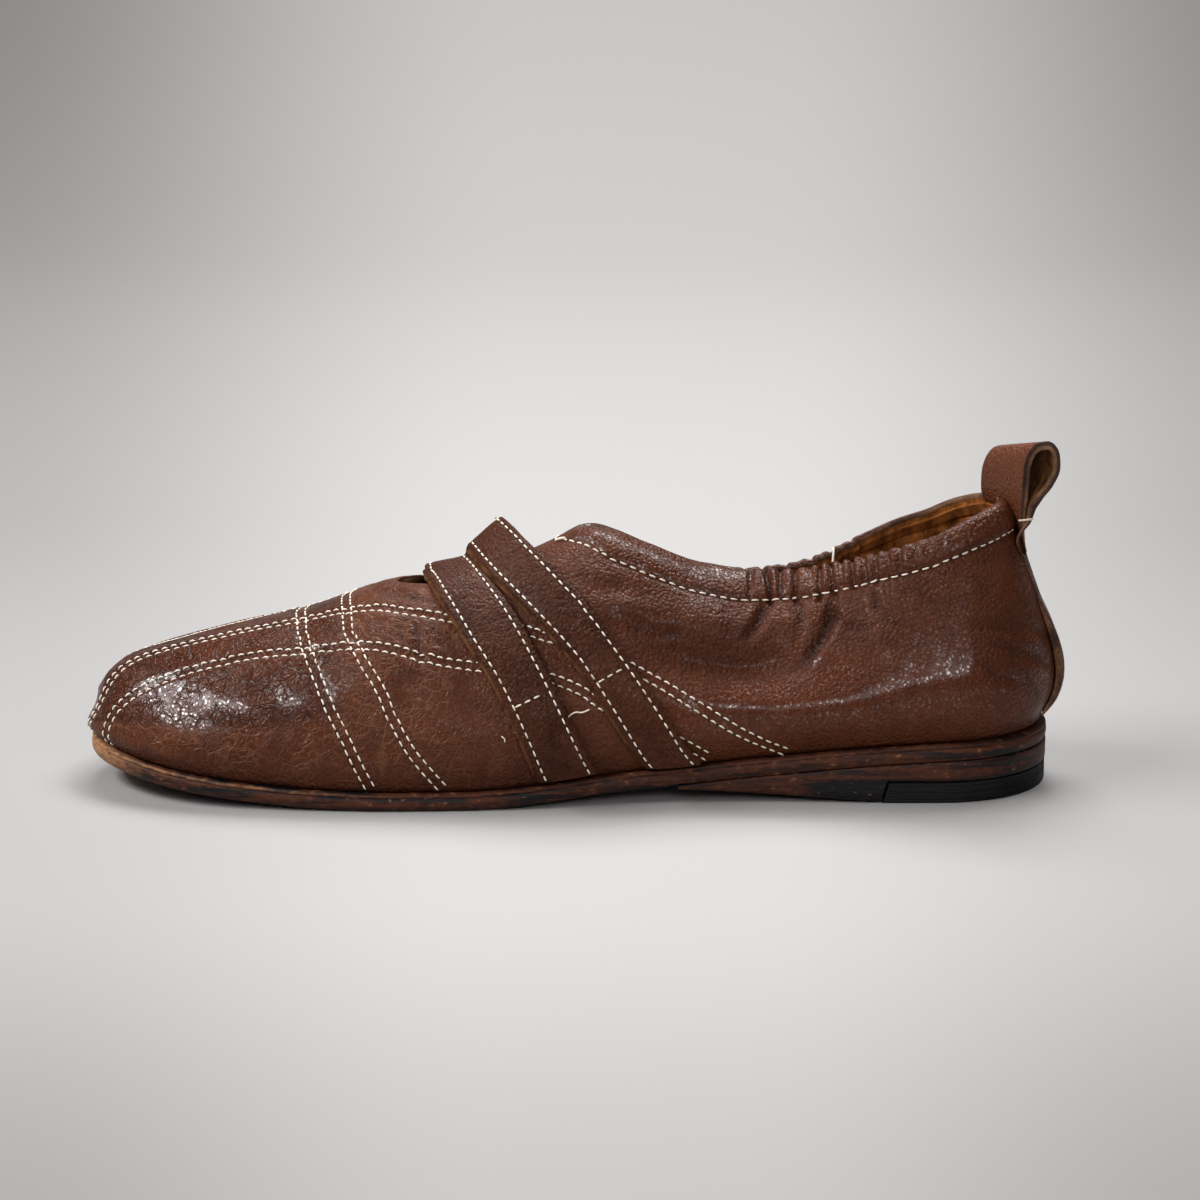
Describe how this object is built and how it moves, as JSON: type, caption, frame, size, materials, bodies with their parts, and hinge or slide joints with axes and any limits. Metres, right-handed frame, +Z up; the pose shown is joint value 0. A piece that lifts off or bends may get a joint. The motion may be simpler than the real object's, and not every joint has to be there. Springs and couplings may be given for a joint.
{
  "type": "split-toe strap flat",
  "caption": "Worn brown leather slip-on flat with a contrast-stitched toe, instep straps over a cut-out, a gathered collar and a heel pull loop.",
  "frame": {"origin": "on the floor under the middle of the shoe's bounding box", "axes": "+X from toe to heel, +Y towards the medial (inner) side, +Z up from the floor"},
  "size_m": [0.2662, 0.0834, 0.0937],
  "materials": {
    "upper_leather": "waxed, worn and finely creased",
    "strap_leather": "waxed, with raw tan edges",
    "sole_leather": "stained and scuffed edge",
    "heel_rubber": "matte, finely ribbed",
    "insole_suede": "napped"
  },
  "bodies": {
    "root": {"outsole": "sole_leather", "heel_lift": "sole_leather", "heel_top_piece": "heel_rubber", "insole": "insole_suede", "upper": "upper_leather", "strap_front": "strap_leather", "strap_rear": "strap_leather", "back_strip": "strap_leather", "pull_loop": "strap_leather"}
  },
  "joints": []
}
